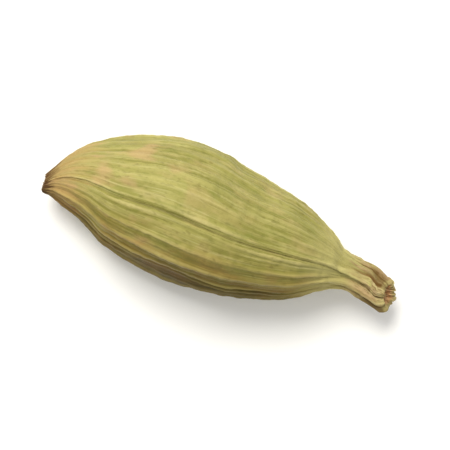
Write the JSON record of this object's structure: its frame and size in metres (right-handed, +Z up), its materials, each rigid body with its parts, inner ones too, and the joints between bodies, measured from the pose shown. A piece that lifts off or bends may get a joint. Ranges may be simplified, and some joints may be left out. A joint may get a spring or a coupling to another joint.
{
  "type": "green cardamom pod",
  "caption": "Closed dried green cardamom pod: three-sided veined husk, stalk scar at one end, withered flower beak at the other.",
  "frame": {"origin": "middle of the pod's bounding box, at the level of the flat spot it rests on", "axes": "+Z up, +X from the stalk scar to the flower beak, +Y to the side the pod is bowed towards"},
  "size_m": [0.0192, 0.0074, 0.0064],
  "materials": {
    "husk": "dry, papery, yellow-green husk with straw veins and tan ends"
  },
  "bodies": {
    "root": {"pod": "husk"}
  },
  "joints": []
}
